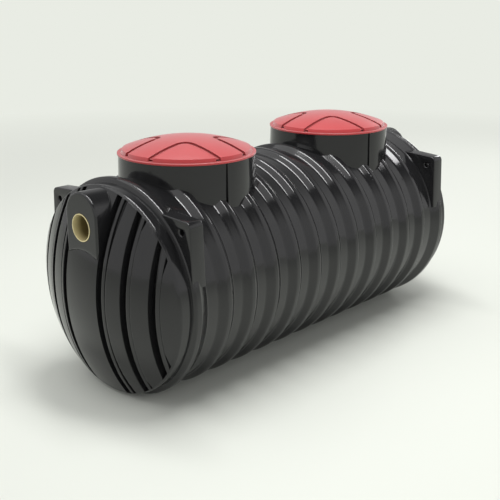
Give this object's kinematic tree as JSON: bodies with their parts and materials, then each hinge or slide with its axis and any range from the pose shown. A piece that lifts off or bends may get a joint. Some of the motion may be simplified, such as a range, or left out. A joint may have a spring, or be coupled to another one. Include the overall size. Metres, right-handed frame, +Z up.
{
  "type": "underground water tank",
  "caption": "Horizontal ribbed black plastic tank with dished straked ends, pipe stubs and two short manhole necks under red lift-off lids; stores water.",
  "frame": {"origin": "middle of the footprint, on the floor under the ribs", "axes": "+X from the inlet end to the outlet end along the barrel, +Z up"},
  "size_m": [2.186, 0.936, 1.049],
  "materials": {
    "black_shell": "rotationally moulded, glossy",
    "red_lid": "moulded, satin",
    "pipe": "extruded, plain"
  },
  "bodies": {
    "tank": {"barrel_ring_01": "black_shell", "barrel_ring_02": "black_shell", "barrel_ring_03": "black_shell", "barrel_ring_04": "black_shell", "barrel_ring_05": "black_shell", "barrel_ring_06": "black_shell", "barrel_ring_07": "black_shell", "barrel_ring_08": "black_shell", "barrel_ring_09": "black_shell", "barrel_ring_10": "black_shell", "barrel_ring_11": "black_shell", "inlet_boss": "black_shell", "inlet_end": "black_shell", "inlet_lug_back": "black_shell", "inlet_lug_front": "black_shell", "inlet_neck": "black_shell", "inlet_pipe": "pipe", "inlet_spine": "black_shell", "inlet_strake_back_inner": "black_shell", "inlet_strake_back_outer": "black_shell", "inlet_strake_back_side": "black_shell", "inlet_strake_front_inner": "black_shell", "inlet_strake_front_outer": "black_shell", "inlet_strake_front_side": "black_shell", "outlet_boss": "black_shell", "outlet_end": "black_shell", "outlet_lug_back": "black_shell", "outlet_lug_front": "black_shell", "outlet_neck": "black_shell", "outlet_pipe": "pipe", "outlet_spine": "black_shell", "outlet_strake_back_inner": "black_shell", "outlet_strake_back_outer": "black_shell", "outlet_strake_back_side": "black_shell", "outlet_strake_front_inner": "black_shell", "outlet_strake_front_outer": "black_shell", "outlet_strake_front_side": "black_shell"},
    "inlet_cover": {"inlet_lid": "red_lid"},
    "outlet_cover": {"outlet_lid": "red_lid"}
  },
  "joints": [
    {"name": "inlet_lid_lift", "type": "slide", "parent": "tank", "child": "inlet_cover", "axis": [0, 0, 1], "range_m": [0, 0.25]},
    {"name": "outlet_lid_lift", "type": "slide", "parent": "tank", "child": "outlet_cover", "axis": [0, 0, 1], "range_m": [0, 0.25]}
  ]
}
